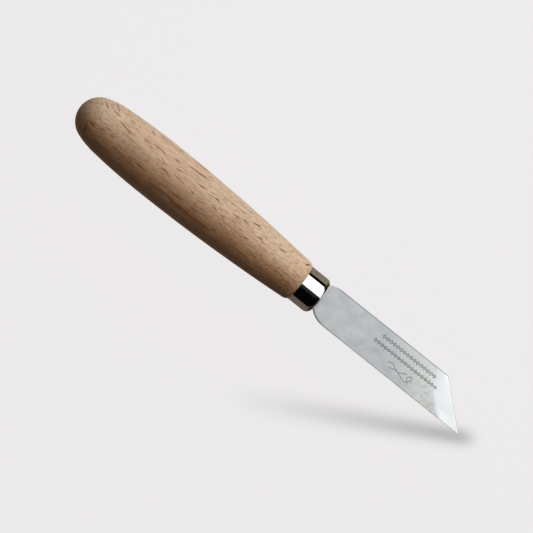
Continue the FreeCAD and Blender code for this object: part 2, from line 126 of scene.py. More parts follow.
# ---------------------------------------------------------------- node helpers
class Tree:
    """Short calls for building a node tree."""

    def __init__(self, tree):
        self.tree = tree
        tree.nodes.clear()

    def put(self, kind, inputs=None, **settings):
        node = self.tree.nodes.new(kind)
        for key, value in settings.items():
            setattr(node, key, value)
        for key, value in (inputs or {}).items():
            self.feed(node.inputs[key], value)
        return node

    def feed(self, socket, value):
        if isinstance(value, bpy.types.NodeSocket):
            self.tree.links.new(value, socket)
        else:
            socket.default_value = value

    def math(self, operation, a, b=0.0, c=0.0, clamp=False):
        node = self.put("ShaderNodeMath", {0: a, 1: b, 2: c}, operation=operation, use_clamp=clamp)
        return node.outputs[0]

    def vector(self, operation, a, b=(0, 0, 0), scale=None):
        node = self.put("ShaderNodeVectorMath", {0: a, 1: b}, operation=operation)
        if scale is not None:
            self.feed(node.inputs["Scale"], scale)
        single = operation in ("LENGTH", "DOT_PRODUCT", "DISTANCE")
        return node.outputs["Value"] if single else node.outputs[0]

    def ramp(self, kind, value, start, end, low, high):
        node = self.put("ShaderNodeMapRange", {"Value": value, "From Min": start, "From Max": end,
                                               "To Min": low, "To Max": high}, interpolation_type=kind)
        return node.outputs["Result"]

    def step(self, value, start, end, low=0.0, high=1.0):
        return self.ramp("SMOOTHSTEP", value, start, end, low, high)

    def line(self, value, start, end, low=0.0, high=1.0):
        return self.ramp("LINEAR", value, start, end, low, high)

    def noise(self, vector, detail=2.0, roughness=0.5, distortion=0.0, output="Fac"):
        node = self.put("ShaderNodeTexNoise", {"Vector": vector, "Scale": 1.0, "Detail": detail,
                                               "Roughness": roughness, "Distortion": distortion})
        return node.outputs[output]

    def mix(self, factor, a, b):
        node = self.put("ShaderNodeMix", data_type="RGBA")
        self.feed(node.inputs["Factor"], factor)
        self.feed([s for s in node.inputs if s.name == "A" and s.type == "RGBA"][0], a)
        self.feed([s for s in node.inputs if s.name == "B" and s.type == "RGBA"][0], b)
        return [s for s in node.outputs if s.type == "RGBA"][0]

    def split(self, vector):
        return self.put("ShaderNodeSeparateXYZ", {0: vector}).outputs

    def join(self, x, y, z):
        return self.put("ShaderNodeCombineXYZ", {0: x, 1: y, 2: z}).outputs[0]

    def stretch(self, vector, factors):
        return self.vector("MULTIPLY", vector, factors)


def new_material(name):
    material = bpy.data.materials.new(name)
    material.use_nodes = True
    tree = Tree(material.node_tree)
    shader = tree.put("ShaderNodeBsdfPrincipled")
    output = tree.put("ShaderNodeOutputMaterial")
    tree.tree.links.new(shader.outputs[0], output.inputs[0])
    return material, tree, shader


def grey(value):
    return (value, value, value, 1.0)


# ---------------------------------------------------------------- beech
WOOD_BROWN, WOOD_PALE = (0.530, 0.382, 0.262, 1), (0.608, 0.467, 0.340, 1)
WOOD_PINK, WOOD_LATE = (0.588, 0.403, 0.279, 1), (0.42, 0.25, 0.15, 1)
VESSEL_BROWN, PORE_BROWN = (0.36, 0.21, 0.12, 1), (0.285, 0.135, 0.070, 1)
RING_BROWN, FLECK_BROWN = (0.350, 0.165, 0.085, 1), (0.205, 0.072, 0.028, 1)
STREAK_PALE = (0.62, 0.52, 0.42, 1)
PITH_Y, PITH_Z = 19.0, 58.0              # the pith's distance from the handle's axis, in mm
RING_PITCH = 2.9
FLECK_LEAN = math.tan(LEAN)              # a mark's place moves back by this much of its height above the axis

# Distinct ray flecks on the upper face of the handle:
# middle from the butt, across (+ towards the heel side), length, thickness, lean, strength; lengths in mm.
FLECKS = [
    (12.0, 9.0, 3.6, 0.75, -0.75, 0.55), (10.4, 7.6, 1.6, 0.5, -0.5, 0.45),
    (8.2, 6.9, 2.6, 0.7, -0.45, 0.75), (6.2, 6.2, 1.5, 0.5, -0.3, 0.45), (4.3, 5.0, 1.7, 0.5, 0.6, 0.45),
    (2.1, 3.8, 1.5, 0.6, 0.5, 0.5), (13.3, 6.9, 3.8, 0.55, -0.12, 0.95), (18.0, 4.9, 3.8, 0.5, -0.1, 0.8),
    (21.5, 4.3, 4.0, 0.45, -0.05, 0.85), (23.6, 6.8, 2.2, 0.5, -0.05, 0.55),
    (35.8, 6.5, 5.6, 0.5, -0.06, 0.95), (29.4, 9.9, 2.0, 0.8, -0.2, 0.5),
    (14.6, -0.1, 2.8, 0.45, -0.05, 0.7), (18.6, -0.6, 1.7, 0.5, 0.0, 0.6),
    (7.9, -2.5, 4.2, 0.6, -0.12, 0.9), (33.6, -3.8, 5.6, 0.5, -0.05, 0.85),
    (29.2, -4.2, 3.4, 0.5, 0.0, 0.6), (31.2, -5.5, 2.2, 0.5, 0.0, 0.55),
    (43.9, 7.2, 3.4, 0.55, 0.0, 0.75), (46.7, 4.7, 3.2, 0.55, 0.05, 0.8),
    (42.1, 1.0, 3.5, 0.55, 0.0, 0.85), (48.1, 2.0, 3.4, 0.5, -0.04, 0.85),
    (53.1, 8.75, 8.2, 0.62, 0.04, 1.15), (57.8, 5.25, 3.4, 0.6, 0.03, 0.95),
    (65.6, 5.0, 2.6, 0.6, 0.0, 0.9), (60.1, 7.2, 1.9, 0.5, 0.0, 0.5), (71.3, 1.1, 2.0, 0.55, 0.05, 0.8),
    (67.0, 1.7, 2.5, 0.5, 0.03, 0.6), (52.4, -4.0, 4.5, 0.5, 0.04, 0.7),
    (61.0, -3.85, 4.0, 0.5, 0.03, 0.7), (75.5, 4.6, 3.9, 0.5, 0.0, 0.75),
    (84.2, 7.1, 3.2, 0.6, 0.14, 0.95), (79.8, 5.3, 3.0, 0.55, 0.0, 0.75),
    (88.6, 3.8, 2.4, 0.55, -0.05, 0.8), (98.8, 5.6, 2.8, 0.55, 0.15, 0.75),
    (109.9, 7.3, 1.5, 1.2, 0.5, 0.75), (84.3, 0.4, 2.0, 0.5, 0.0, 0.7), (80.5, 1.4, 2.4, 0.5, 0.0, 0.5),
    (101.5, 7.4, 1.3, 0.8, 0.4, 0.4), (103.0, 1.6, 2.3, 0.4, 0.0, 0.5), (108.7, 1.5, 2.2, 0.4, 0.0, 0.5),
    (101.6, -1.0, 0.7, 0.7, 0.0, 0.7), (40.6, 3.0, 2.9, 0.45, -0.05, 0.7),
    (44.3, 0.3, 1.9, 0.4, 0.0, 0.6), (50.6, 1.8, 1.6, 0.45, 0.0, 0.7), (68.3, 7.3, 1.9, 0.45, 0.0, 0.6),
    (62.7, 4.7, 2.4, 0.45, 0.05, 0.8), (69.3, 2.8, 2.2, 0.4, 0.0, 0.5), (56.1, 1.2, 1.9, 0.45, 0.0, 0.6),
    (61.9, 0.4, 1.9, 0.4, 0.0, 0.5), (72.6, -1.7, 1.9, 0.45, 0.0, 0.6), (63.3, -1.8, 1.9, 0.4, 0.0, 0.5),
    (71.9, -5.1, 2.7, 0.45, 0.0, 0.6), (48.6, -4.6, 1.4, 0.4, 0.0, 0.5), (58.2, -5.0, 1.4, 0.4, 0.0, 0.5),
    (23.5, 2.3, 4.5, 0.35, -0.03, 0.6), (29.4, 5.4, 2.9, 0.45, -0.08, 0.6),
    (17.4, -1.3, 2.4, 0.4, -0.05, 0.7), (12.5, -1.4, 1.6, 0.4, 0.0, 0.6),
    (5.7, -3.0, 1.7, 0.5, -0.3, 0.7), (21.1, -4.8, 1.9, 0.4, 0.0, 0.5), (34.1, -0.7, 2.2, 0.4, 0.0, 0.6),
    (23.3, -2.8, 4.5, 0.35, 0.0, 0.55), (77.1, 7.6, 2.2, 0.45, 0.05, 0.6),
    (89.9, 1.0, 1.9, 0.4, 0.0, 0.6), (93.1, 1.1, 2.1, 0.4, 0.0, 0.6), (106.0, 5.2, 1.5, 0.45, 0.2, 0.6),
    (90.5, -2.0, 1.6, 0.4, 0.0, 0.5), (79.7, -1.9, 2.2, 0.4, 0.0, 0.55), (37.6, 2.9, 2.4, 0.4, 0.0, 0.55),
    (9.6, 0.9, 1.8, 0.4, 0.0, 0.5), (31.0, 0.6, 2.0, 0.4, 0.0, 0.5),
]

# Growth-ring edges and paler streaks that show as broad soft lines, in the same terms.
RING_LINES = [
    (107.3, -3.2, 12.0, 0.55, -0.22, 0.60), (100.2, -1.9, 6.0, 0.5, -0.12, 0.35),
    (46.0, -6.35, 12.0, 1.7, 0.03, 0.48), (56.5, -6.75, 13.0, 1.7, -0.02, 0.55),
    (65.5, -6.7, 9.0, 1.8, 0.03, 0.50), (7.0, -5.2, 1.4, 3.8, -2.0, 0.50),
    (86.0, -5.6, 9.0, 0.8, 0.02, 0.35), (97.0, -5.5, 8.0, 0.7, 0.05, 0.35),
    (52.5, 11.5, 8.0, 0.6, 0.0, 0.55), (26.0, -5.0, 9.0, 1.6, -0.10, 0.25),
    (78.5, -0.4, 14.0, 0.7, -0.03, 0.25), (27.5, 2.2, 7.0, 0.6, -0.02, 0.40),
]
PALE_STREAKS = [
    (48.5, -7.9, 9.0, 1.2, -0.10, 0.55), (57.5, -8.3, 10.0, 1.2, 0.05, 0.50),
    (12.5, 4.6, 8.0, 1.8, -0.10, 0.25), (34.0, 3.0, 16.0, 2.6, 0.0, 0.14),
    (62.0, 3.4, 12.0, 1.4, 0.0, 0.25),
]


def spindle_group():
    """Darkness of one spindle-shaped ray fleck, from the position in millimetres and its place and size."""
    group = bpy.data.node_groups.new("ray_fleck", "ShaderNodeTree")
    for name in ("Along", "Across", "Station", "Offset", "Half length", "Half width", "Lean", "Strength"):
        group.interface.new_socket(name=name, in_out="INPUT", socket_type="NodeSocketFloat")
    group.interface.new_socket(name="Dark", in_out="OUTPUT", socket_type="NodeSocketFloat")
    tree = Tree(group)
    given = tree.put("NodeGroupInput").outputs
    along = tree.math("SUBTRACT", given["Along"], given["Station"])
    across = tree.math("SUBTRACT", given["Across"], given["Offset"])
    across = tree.math("SUBTRACT", across, tree.math("MULTIPLY", along, given["Lean"]))
    along = tree.math("DIVIDE", along, given["Half length"])
    across = tree.math("DIVIDE", across, given["Half width"])
    reach = tree.math("SQRT", tree.math("ADD", tree.math("MULTIPLY", along, along),
                                        tree.math("MULTIPLY", across, across)))
    dark = tree.math("MULTIPLY", tree.step(reach, 1.12, 0.58), given["Strength"])
    end = tree.put("NodeGroupOutput")
    tree.feed(end.inputs[0], dark)
    return group


def beech():
    material, tree, shader = new_material("beech")
    place = tree.put("ShaderNodeTexCoord").outputs["Object"]
    mm = tree.vector("SUBTRACT", place, (BUTT, 0.0, AXIS_Z))
    mm = tree.vector("SCALE", mm, scale=1000.0)

    # gentle waver of the fibres
    waver = tree.noise(tree.stretch(mm, (0.022, 0.09, 0.09)), 2.0, output="Color")
    waver = tree.vector("MULTIPLY", tree.vector("SUBTRACT", waver, (0.5, 0.5, 0.5)), (0.0, 3.2, 3.2))
    fibre = tree.vector("ADD", mm, waver)
    fx, fy, fz = tree.split(fibre)

    # growth rings about a pith well below the handle
    ring_y = tree.math("ADD", fy, PITH_Y)
    ring_z = tree.math("ADD", fz, PITH_Z)
    radial = tree.math("SQRT", tree.math("ADD", tree.math("MULTIPLY", ring_y, ring_y),
                                         tree.math("MULTIPLY", ring_z, ring_z)))
    uneven = tree.noise(tree.join(0.0, 0.0, tree.math("MULTIPLY", radial, 0.35)), 1.0)
    phase = tree.math("ADD", tree.math("DIVIDE", radial, RING_PITCH), tree.math("MULTIPLY", uneven, 1.6))
    phase = tree.math("FRACT", phase)
    late = tree.math("MULTIPLY", tree.step(phase, 0.35, 0.93), tree.step(phase, 1.0, 0.94))
    # about the distance round the rings, in mm
    tangential = tree.math("MULTIPLY", tree.math("ARCTAN2", ring_y, ring_z), 60.0)

    # fibres at three scales, vessel lines and pores
    streak = tree.noise(tree.stretch(fibre, (0.045, 0.9, 0.9)), 3.0, 0.65)
    dash = tree.noise(tree.stretch(fibre, (0.24, 1.7, 1.7)), 3.0, 0.7)
    fine = tree.noise(tree.stretch(fibre, (0.13, 4.6, 4.6)), 3.0, 0.65)
    vessel = tree.noise(tree.stretch(fibre, (0.20, 3.6, 3.6)), 2.0, 0.6)
    vessel = tree.step(vessel, 0.52, 0.66)
    pore = tree.noise(tree.stretch(fibre, (0.50, 3.1, 3.1)), 1.0, 0.5)
    pore = tree.step(pore, 0.56, 0.66)
    patch = tree.noise(tree.stretch(mm, (0.035, 0.10, 0.10)), 3.0, 0.5)
    pink = tree.noise(tree.stretch(mm, (0.020, 0.16, 0.16)), 2.0, 0.5)

    # ray flecks: thin across the rays, tall along them
    cell_space = tree.join(tree.math("DIVIDE", fx, 4.2), tree.math("DIVIDE", tangential, 0.88),
                           tree.math("DIVIDE", radial, 9.0))
    cells = tree.put("ShaderNodeTexVoronoi", {"Vector": cell_space, "Scale": 1.0, "Randomness": 1.0},
                     feature="F1")
    chance, depth, length = tree.split(cells.outputs["Color"])
    size = tree.line(length, 0.0, 1.0, 0.20, 0.42)
    small = tree.math("DIVIDE", cells.outputs["Distance"], size)
    small = tree.math("MULTIPLY", tree.step(small, 1.0, 0.42), tree.step(chance, 0.40, 0.60))
    small = tree.math("MULTIPLY", small, tree.line(depth, 0.0, 1.0, 0.25, 1.0))

    # the distinct flecks, with frayed outlines
    fray = tree.noise(tree.stretch(mm, (0.9, 2.6, 2.6)), 2.0, 0.6, output="Color")
    fray = tree.vector("MULTIPLY", tree.vector("SUBTRACT", fray, (0.5, 0.5, 0.5)), (0.9, 0.26, 0.0))
    px, py, pz = tree.split(tree.vector("ADD", mm, fray))
    px = tree.math("MULTIPLY_ADD", pz, FLECK_LEAN, px)
    group = spindle_group()
    upper = tree.step(pz, -2.0, 0.5)

    def gather(spindles):
        """The strongest of these marks at each place, on the upper side only."""
        total = None
        for station, across, long, thick, lean, strength in spindles:
            node = tree.put("ShaderNodeGroup", {
                "Along": px, "Across": py, "Station": station, "Offset": across, "Half length": long * 0.62,
                "Half width": thick * 0.46, "Lean": lean, "Strength": min(1.3, strength * 1.3)},
                node_tree=group)
            total = node.outputs[0] if total is None else tree.math("MAXIMUM", total, node.outputs[0])
        return tree.math("MULTIPLY", total, upper)

    marks = gather(FLECKS)
    lined = gather(RING_LINES)
    paled = gather(PALE_STREAKS)
    flecks = tree.math("MAXIMUM", tree.math("MULTIPLY", small, 0.60), marks, clamp=True)

    # colour
    base = tree.mix(tree.line(patch, 0.3, 0.7), WOOD_BROWN, WOOD_PALE)
    base = tree.mix(tree.line(pink, 0.35, 0.7, 0.0, 0.75), base, WOOD_PINK)
    base = tree.mix(tree.math("MULTIPLY", late, 0.16), base, WOOD_LATE)
    tone = tree.line(streak, 0.25, 0.75, -0.20, 0.20)
    tone = tree.math("ADD", tone, tree.line(fine, 0.25, 0.75, -0.32, 0.32))
    tone = tree.math("ADD", tone, tree.line(dash, 0.25, 0.75, -0.17, 0.17))
    tone = tree.math("ADD", tree.math("SUBTRACT", tone, tree.math("MULTIPLY", vessel, 0.04)), 1.115)
    base = tree.vector("SCALE", base, scale=tone)
    base = tree.mix(tree.math("MULTIPLY", vessel, 0.34), base, VESSEL_BROWN)
    base = tree.mix(tree.math("MULTIPLY", pore, 0.60), base, PORE_BROWN)
    base = tree.mix(lined, base, RING_BROWN)
    base = tree.mix(paled, base, STREAK_PALE)
    base = tree.mix(flecks, base, FLECK_BROWN)
    tree.feed(shader.inputs["Base Color"], base)

    rough = tree.math("ADD", tree.line(fine, 0.2, 0.8, 0.50, 0.64), tree.math("MULTIPLY", flecks, -0.06))
    tree.feed(shader.inputs["Roughness"], rough)
    shader.inputs["Specular IOR Level"].default_value = 0.25
    height = tree.math("SUBTRACT", tree.math("MULTIPLY", fine, 0.5), tree.math("MULTIPLY", vessel, 0.55))
    height = tree.math("SUBTRACT", height, tree.math("MULTIPLY", flecks, 0.35))
    bump = tree.put("ShaderNodeBump", {"Height": height, "Strength": 0.55, "Distance": 0.00011})
    tree.feed(shader.inputs["Normal"], bump.outputs[0])
    return material


# ---------------------------------------------------------------- nickel plate
STAKE_STATION, STAKE_ANGLE = 2.1, math.radians(62)     # mm from the CAD join, and round from the top
STAKE_RADIUS, STAKE_DEPTH = 0.50, 0.18


def nickel():
    material, tree, shader = new_material("nickel_plate")
    place = tree.put("ShaderNodeTexCoord").outputs["Object"]
    mm = tree.vector("SCALE", place, scale=1000.0)
    mx, my, mz = tree.split(tree.vector("SUBTRACT", mm, (0.0, 0.0, AXIS_Z * 1000.0)))
    turn = tree.math("MULTIPLY", tree.math("ARCTAN2", my, mz), 8.0)
    skin = tree.join(mx, turn, 0.0)
    cloud = tree.noise(tree.stretch(mm, (0.5, 0.5, 0.5)), 3.0, 0.6)
    scuff = tree.noise(tree.stretch(skin, (9.0, 0.7, 1.0)), 3.0, 0.7)
    drawn = tree.noise(tree.stretch(skin, (0.4, 7.0, 1.0)), 2.0, 0.6)
    base = tree.mix(tree.line(cloud, 0.3, 0.7), (0.770, 0.757, 0.725, 1), (0.715, 0.700, 0.665, 1))
    spot = tree.noise(tree.stretch(skin, (1.4, 0.9, 1.0)), 3.0, 0.75)
    worn = tree.step(tree.math("ABSOLUTE", my), 5.0, 6.0, 0.35, 0.95)
    spot = tree.math("MULTIPLY", tree.line(spot, 0.42, 0.62), worn)
    base = tree.mix(spot, base, (0.44, 0.41, 0.36, 1))
    # painted shade in the stake mark, darkest in its middle
    stake = (FERRULE_REAR / MM + STAKE_STATION, FERRULE_RADIUS / MM * math.sin(STAKE_ANGLE),
             FERRULE_RADIUS / MM * math.cos(STAKE_ANGLE))
    mark = tree.vector("DISTANCE", tree.join(mx, my, mz), stake)
    base = tree.mix(tree.step(mark, STAKE_RADIUS, STAKE_RADIUS / 2, 0.0, 0.85), base, (0.08, 0.07, 0.06, 1))
    tree.feed(shader.inputs["Base Color"], base)
    shader.inputs["Metallic"].default_value = 1.0
    rough = tree.math("ADD", tree.line(cloud, 0.25, 0.75, 0.040, 0.080),
                      tree.line(scuff, 0.55, 0.8, 0.0, 0.06))
    tree.feed(shader.inputs["Roughness"], rough)
    height = tree.math("ADD", tree.math("MULTIPLY", scuff, 0.5), tree.math("MULTIPLY", drawn, 0.5))
    bump = tree.put("ShaderNodeBump", {"Height": height, "Strength": 0.05, "Distance": 0.00001})
    tree.feed(shader.inputs["Normal"], bump.outputs[0])
    return material


# ---------------------------------------------------------------- blade steel
EDGE_ANGLE = math.radians(41.2)          # cutting edge against the knife axis
EDGE_RUN = 1.0 / math.tan(EDGE_ANGLE)
TIP_ROUND = 0.25 * MM                    # the sharp point would stand this far past the CAD's rounded tip
HEEL_X = TIP + TIP_ROUND - 2 * HALF_WIDTH * EDGE_RUN
# in mm: the bevel's width at the heel and lower down, and how far down it has widened
BEVEL_HEEL, BEVEL_LOW, BEVEL_SPREAD = 4.2, 7.5, 9.0
# in mm: each shoulder's arc, and the half width at the ferrule, on the tip side and on the heel side
LOW_RADIUS, LOW_NECK = 10.5, 4.7
HIGH_RADIUS, HIGH_NECK = 10.8, 6.5
LOW_RUN = math.sqrt(LOW_RADIUS ** 2 - (LOW_RADIUS - HALF_WIDTH / MM + LOW_NECK) ** 2)
LOW_CENTRE = LOW_RADIUS - HALF_WIDTH / MM


def steel():
    material, tree, shader = new_material("tool_steel")
    place = tree.put("ShaderNodeTexCoord").outputs["Object"]
    mm = tree.vector("SCALE", tree.vector("SUBTRACT", place, (FERRULE_FRONT, 0.0, AXIS_Z)), scale=1000.0)
    bx, by, bz = tree.split(mm)

    # distance from the cutting edge, and along it
    edge_x = (HEEL_X - FERRULE_FRONT) * 1000.0
    from_heel = tree.math("SUBTRACT", HALF_WIDTH * 1000.0, by)
    gap_x = tree.math("SUBTRACT", tree.math("MULTIPLY_ADD", from_heel, EDGE_RUN, edge_x), bx)
    inset = tree.math("MULTIPLY", gap_x, math.sin(EDGE_ANGLE))
    along = tree.math("SUBTRACT", tree.math("MULTIPLY", bx, math.cos(EDGE_ANGLE)),
                      tree.math("MULTIPLY", by, math.sin(EDGE_ANGLE)))
    reach = tree.line(from_heel, 0.0, BEVEL_SPREAD, BEVEL_HEEL, BEVEL_LOW)
    bevel = tree.step(tree.math("SUBTRACT", reach, inset), -0.9, 0.5)

    cloud = tree.noise(tree.stretch(mm, (0.16, 0.22, 0.2)), 4.0, 0.6, 0.4)
    smear = tree.noise(tree.stretch(mm, (0.30, 0.10, 0.3)), 3.0, 0.55, 0.8)
    speck = tree.noise(tree.stretch(mm, (1.6, 1.6, 1.6)), 3.0, 0.7)
    grind = tree.noise(tree.stretch(mm, (9.0, 0.35, 1.0)), 3.0, 0.7)
    hone = tree.noise(tree.join(tree.math("MULTIPLY", along, 9.0), tree.math("MULTIPLY", inset, 0.25), 0.0),
                      3.0, 0.7)
    lines = tree.math("ADD", tree.math("MULTIPLY", grind, tree.math("SUBTRACT", 1.0, bevel)),
                      tree.math("MULTIPLY", hone, bevel))

    base = tree.mix(tree.line(cloud, 0.3, 0.7), (0.585, 0.638, 0.690, 1), (0.790, 0.812, 0.808, 1))
    base = tree.mix(tree.line(smear, 0.45, 0.75, 0.0, 0.55), base, (0.715, 0.735, 0.71, 1))
    tone = tree.math("ADD", tree.line(lines, 0.25, 0.75, 0.93, 1.07), tree.line(speck, 0.3, 0.7, -0.03, 0.03))
    base = tree.vector("SCALE", base, scale=tone)
    # painted highlight: the flat is made brighter in a band next to the bevel, on its side away from the edge
    painted_highlight_zone = tree.math("MULTIPLY", tree.step(tree.math("SUBTRACT", inset, reach), 17.0, 1.5),
                       tree.math("SUBTRACT", 1.0, bevel))
    base = tree.mix(tree.math("MULTIPLY", painted_highlight_zone, 0.85), base, (0.965, 0.99, 0.97, 1))
    base = tree.mix(tree.math("MULTIPLY", bevel, 0.8), base, (0.80, 0.83, 0.845, 1))
    blot = tree.noise(tree.stretch(mm, (0.55, 0.75, 0.7)), 4.0, 0.7)
    blot = tree.math("MULTIPLY", tree.step(blot, 0.47, 0.60), tree.step(by, 3.0, -2.0, 0.25, 0.75))
    base = tree.mix(tree.math("MULTIPLY", blot, painted_highlight_zone), base, (0.68, 0.70, 0.61, 1))
    stain = tree.math("MULTIPLY", tree.step(speck, 0.52, 0.66), painted_highlight_zone)
    base = tree.mix(tree.math("MULTIPLY", stain, 0.50), base, (0.56, 0.57, 0.50, 1))

    # warmer beside the ferrule
    beside = tree.math("MULTIPLY", tree.step(bx, 2.4, 0.6), 0.55)
    base = tree.mix(beside, base, (0.64, 0.605, 0.53, 1))

    # painted shade: darker along both long edges, the tip side's shoulder and the cutting edge itself
    painted_edge_shade = (0.10, 0.105, 0.11, 1)
    shoulder_gap = tree.vector("SUBTRACT", mm, (LOW_RUN, LOW_CENTRE, 0.0))
    shoulder_gap = tree.vector("LENGTH", tree.vector("MULTIPLY", shoulder_gap, (1.0, 1.0, 0.0)))
    rim = tree.math("MULTIPLY", tree.step(shoulder_gap, LOW_RADIUS - 0.75, LOW_RADIUS - 0.30),
                    tree.math("MULTIPLY", tree.step(bx, LOW_RUN, LOW_RUN - 1.5), tree.step(by, -1.5, -2.5)))
    base = tree.mix(tree.math("MULTIPLY", rim, 0.80), base, painted_edge_shade)
    from_tip = tree.math("ADD", HALF_WIDTH * 1000.0, by)
    painted_tip_edge_shade = tree.math("MULTIPLY", tree.step(from_tip, 0.50, 0.18), tree.step(bx, 24.0, LOW_RUN, 0.35, 0.80))
    painted_tip_edge_shade = tree.math("MULTIPLY", painted_tip_edge_shade, tree.step(bx, LOW_RUN - 1.0, LOW_RUN))
    base = tree.mix(painted_tip_edge_shade, base, painted_edge_shade)
    # painted shade along the heel side's long edge and along the cutting edge
    base = tree.mix(tree.step(from_heel, 0.62, 0.22, 0.0, 0.68), base, (0.25, 0.26, 0.27, 1))
    base = tree.mix(tree.step(inset, 0.30, 0.12, 0.0, 0.75), base, (0.20, 0.205, 0.21, 1))

    etched = ornament(tree, bx, by)
    etched = tree.math("MULTIPLY", etched, tree.step(bz, 0.2, 0.4))
    wear = tree.line(speck, 0.3, 0.7, 1.0, 0.65)
    etched = tree.math("MULTIPLY", etched, wear)
    base = tree.mix(etched, base, (0.085, 0.088, 0.082, 1))
    tree.feed(shader.inputs["Base Color"], base)
    shader.inputs["Metallic"].default_value = 1.0

    rough = tree.math("ADD", tree.line(cloud, 0.25, 0.75, 0.36, 0.44),
                      tree.line(lines, 0.3, 0.7, -0.02, 0.03))
    rough = tree.math("ADD", rough, tree.math("MULTIPLY", etched, 0.15))
    rough = tree.math("SUBTRACT", rough, tree.math("MULTIPLY", bevel, 0.08))
    tree.feed(shader.inputs["Roughness"], rough)
    height = tree.math("SUBTRACT", lines, tree.math("MULTIPLY", etched, 0.8))
    bump = tree.put("ShaderNodeBump", {"Height": height, "Strength": 0.20, "Distance": 0.00003})
    tree.feed(shader.inputs["Normal"], bump.outputs[0])
    return material


def ornament(tree, bx, by):
    """Etched decoration on the upper face: two borders of lozenges and dots, and a small scroll."""
    def window(value, low, high, soft=0.25):
        """One between the two stations and nothing outside them."""
        return tree.math("MULTIPLY", tree.step(value, low - soft, low + soft),
                         tree.step(value, high + soft, high - soft))

    def stroke(distance, half):
        """A line of this half width where the distance is nothing."""
        return tree.step(tree.math("ABSOLUTE", distance), half + 0.10, half - 0.06)

    def ripple(start, pace, height):
        """A sine along the blade, from this station, with this many radians to the millimetre."""
        return tree.math("MULTIPLY", tree.math("SINE", tree.math("MULTIPLY", tree.math("SUBTRACT", bx, start),
                                                                 pace)), height)

    def border(middle, start, end, pitch, tall):
        """A row of lozenges, each with a dot in it and a dot in the gap beside it."""
        off = tree.math("ABSOLUTE", tree.math("SUBTRACT", by, middle))
        turn = tree.math("DIVIDE", tree.math("SUBTRACT", bx, start), pitch)
        turn = tree.math("SUBTRACT", tree.math("FRACT", turn), 0.5)
        across = tree.math("ABSOLUTE", tree.math("MULTIPLY", turn, pitch))
        lozenge = tree.math("ADD", tree.math("MULTIPLY", across, 1.25), off)
        shape = stroke(tree.math("SUBTRACT", lozenge, tall * 0.80), 0.17)
        core = tree.step(lozenge, 0.34, 0.16)
        gap = tree.math("SUBTRACT", pitch / 2, across)
        dots = tree.step(tree.math("SQRT", tree.math("ADD", tree.math("MULTIPLY", gap, gap),
                                                    tree.math("MULTIPLY", off, off))), 0.30, 0.14)
        shape = tree.math("MAXIMUM", tree.math("MAXIMUM", shape, core), dots)
        return tree.math("MULTIPLY", shape, window(bx, start, end, 0.05))

    first = border(4.2, 28.9, 56.1, 1.70, 0.95)
    second = border(0.95, 26.8, 59.1, 1.70, 0.90)
    wave = ripple(37.0, 0.85, 0.75)
    wave = stroke(tree.math("SUBTRACT", tree.math("SUBTRACT", by, -2.9), wave), 0.12)
    wave = tree.math("MULTIPLY", wave, window(bx, 37.0, 46.2))
    tail = ripple(39.0, 0.60, 0.60)
    tail = stroke(tree.math("SUBTRACT", tree.math("SUBTRACT", by, -4.2), tail), 0.10)
    tail = tree.math("MULTIPLY", tail, window(bx, 38.6, 48.6))
    leaf = tree.math("ADD", tree.math("ABSOLUTE", tree.math("SUBTRACT", bx, 48.0)),
                     tree.math("MULTIPLY", tree.math("ABSOLUTE", tree.math("SUBTRACT", by, -3.1)), 0.75))
    leaf = stroke(tree.math("SUBTRACT", leaf, 1.05), 0.13)
    scroll = tree.math("MAXIMUM", tree.math("MAXIMUM", wave, tail), leaf)
    return tree.math("MAXIMUM", tree.math("MAXIMUM", first, second), scroll)


# ---------------------------------------------------------------- resin
def resin():
    material, tree, shader = new_material("resin")
    place = tree.put("ShaderNodeTexCoord").outputs["Object"]
    swirl = tree.noise(tree.stretch(place, (120.0, 400.0, 400.0)), 4.0, 0.55, 1.2)
    tree.feed(shader.inputs["Base Color"], tree.mix(tree.line(swirl, 0.3, 0.7), (0.42, 0.24, 0.08, 1),
                                                    (0.62, 0.42, 0.18, 1)))
    tree.feed(shader.inputs["Roughness"], tree.line(swirl, 0.3, 0.7, 0.18, 0.32))
    return material


